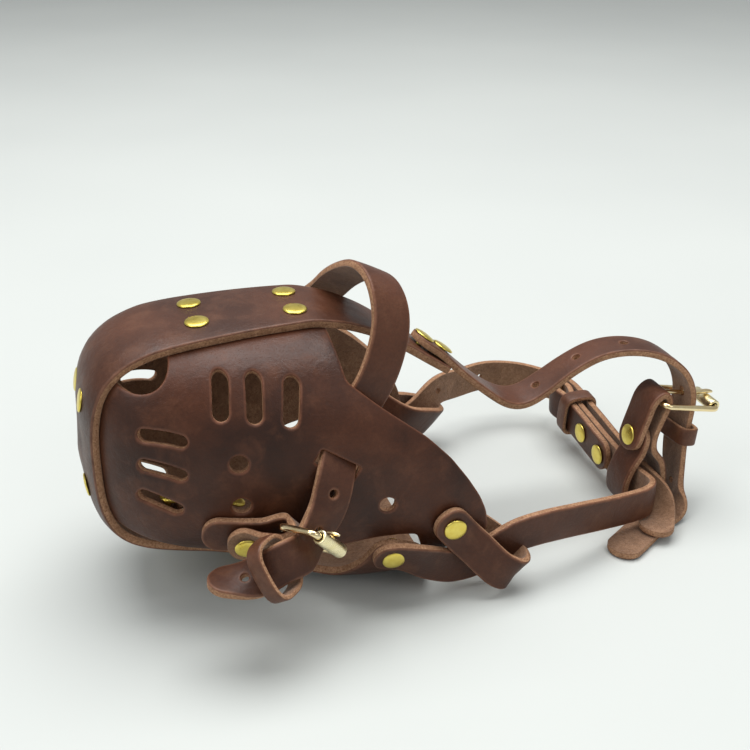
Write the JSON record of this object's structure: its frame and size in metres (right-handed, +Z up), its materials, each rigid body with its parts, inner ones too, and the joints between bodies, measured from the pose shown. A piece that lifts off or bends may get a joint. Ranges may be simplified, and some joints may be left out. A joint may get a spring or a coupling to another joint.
{
  "type": "dog muzzle",
  "caption": "Leather basket muzzle: two moulded slotted side panels on a centre band, with adjustable nose, forehead and neck straps, roller buckles and brass rivets.",
  "frame": {"origin": "middle of the flat underside of the chin part of the centre band, where the muzzle rests", "axes": "-X out of the nose, +X to the back of the neck, -Y the side with the nose buckle, +Z up"},
  "size_m": [0.2744, 0.1574, 0.1324],
  "materials": {
    "leather": "oiled grain outside, rough suede inside and at the cut edges",
    "rivet_brass": "domed, polished",
    "buckle_gold": "pale gold plate, polished"
  },
  "bodies": {
    "muzzle": {"centre_band": "leather", "cheek_rivet_far": "rivet_brass", "cheek_rivet_near": "rivet_brass", "chin_rivet_1_far": "rivet_brass", "chin_rivet_1_near": "rivet_brass", "chin_rivet_2_far": "rivet_brass", "chin_rivet_2_near": "rivet_brass", "far_neck_strap": "leather", "far_side_loop": "leather", "far_side_panel": "leather", "forehead_buckle_frame": "buckle_gold", "forehead_rivet_1": "rivet_brass", "forehead_rivet_2": "rivet_brass", "forehead_strap": "leather", "forehead_tab": "leather", "loop_rivet_far": "rivet_brass", "loop_rivet_near": "rivet_brass", "near_neck_strap": "leather", "near_side_loop": "leather", "near_side_panel": "leather", "neck_buckle_frame": "buckle_gold", "neck_rivet_1": "rivet_brass", "neck_rivet_2": "rivet_brass", "nose_buckle_frame": "buckle_gold", "nose_rivet_1_far": "rivet_brass", "nose_rivet_1_near": "rivet_brass", "nose_rivet_2_far": "rivet_brass", "nose_rivet_2_near": "rivet_brass", "nose_strap": "leather", "nose_strap_rivet": "rivet_brass", "nose_tab": "leather", "nose_tab_rivet": "rivet_brass", "tab_rivet": "rivet_brass", "top_rivet_1_far": "rivet_brass", "top_rivet_1_near": "rivet_brass", "top_rivet_2_far": "rivet_brass", "top_rivet_2_near": "rivet_brass"},
    "forehead_prong": {"forehead_buckle_prong": "buckle_gold"},
    "forehead_roller": {"forehead_buckle_roller": "buckle_gold"},
    "forehead_keeper_ring": {"forehead_keeper": "leather"},
    "neck_prong": {"neck_buckle_prong": "buckle_gold"},
    "neck_roller": {"neck_buckle_roller": "buckle_gold"},
    "neck_keeper_ring": {"neck_keeper": "leather"},
    "nose_prong": {"nose_buckle_prong": "buckle_gold"},
    "nose_roller": {"nose_buckle_roller": "buckle_gold"},
    "nose_keeper_ring": {"nose_keeper": "leather"}
  },
  "joints": [
    {"name": "forehead_prong_hinge", "type": "hinge", "parent": "muzzle", "child": "forehead_prong", "pos_m": [0.1317, -0.019, 0.053], "axis": [0, -1, 0], "range_deg": [0, 6]},
    {"name": "forehead_roller_turn", "type": "hinge", "parent": "muzzle", "child": "forehead_roller", "pos_m": [0.15813, -0.019, 0.04748], "axis": [0, 1, 0], "continuous": true},
    {"name": "neck_prong_hinge", "type": "hinge", "parent": "muzzle", "child": "neck_prong", "pos_m": [0.1202, 0.0454, 0.022], "axis": [0, 0, -1], "range_deg": [0, 6]},
    {"name": "neck_roller_turn", "type": "hinge", "parent": "muzzle", "child": "neck_roller", "pos_m": [0.1249, 0.06277, 0.022], "axis": [0, 0, 1], "continuous": true},
    {"name": "nose_prong_hinge", "type": "hinge", "parent": "muzzle", "child": "nose_prong", "pos_m": [-0.0408, -0.0564, 0.042], "axis": [-0.6099, -0.265, 0.7469], "range_deg": [0, 6]},
    {"name": "nose_roller_turn", "type": "hinge", "parent": "muzzle", "child": "nose_roller", "pos_m": [-0.03093, -0.06984, 0.04532], "axis": [0.6099, 0.265, -0.7469], "continuous": true},
    {"name": "forehead_keeper_slide", "type": "slide", "parent": "muzzle", "child": "forehead_keeper_ring", "axis": [0.141, 0.0805, 0.9867], "range_m": [-0.002, 0.002]},
    {"name": "neck_keeper_slide", "type": "slide", "parent": "muzzle", "child": "neck_keeper_ring", "axis": [0, 0.995, 0.0995], "range_m": [-0.0015, 0.0015]},
    {"name": "nose_keeper_slide", "type": "slide", "parent": "muzzle", "child": "nose_keeper_ring", "axis": [-0.9171, 0, -0.3987], "range_m": [0, 0.001]}
  ]
}
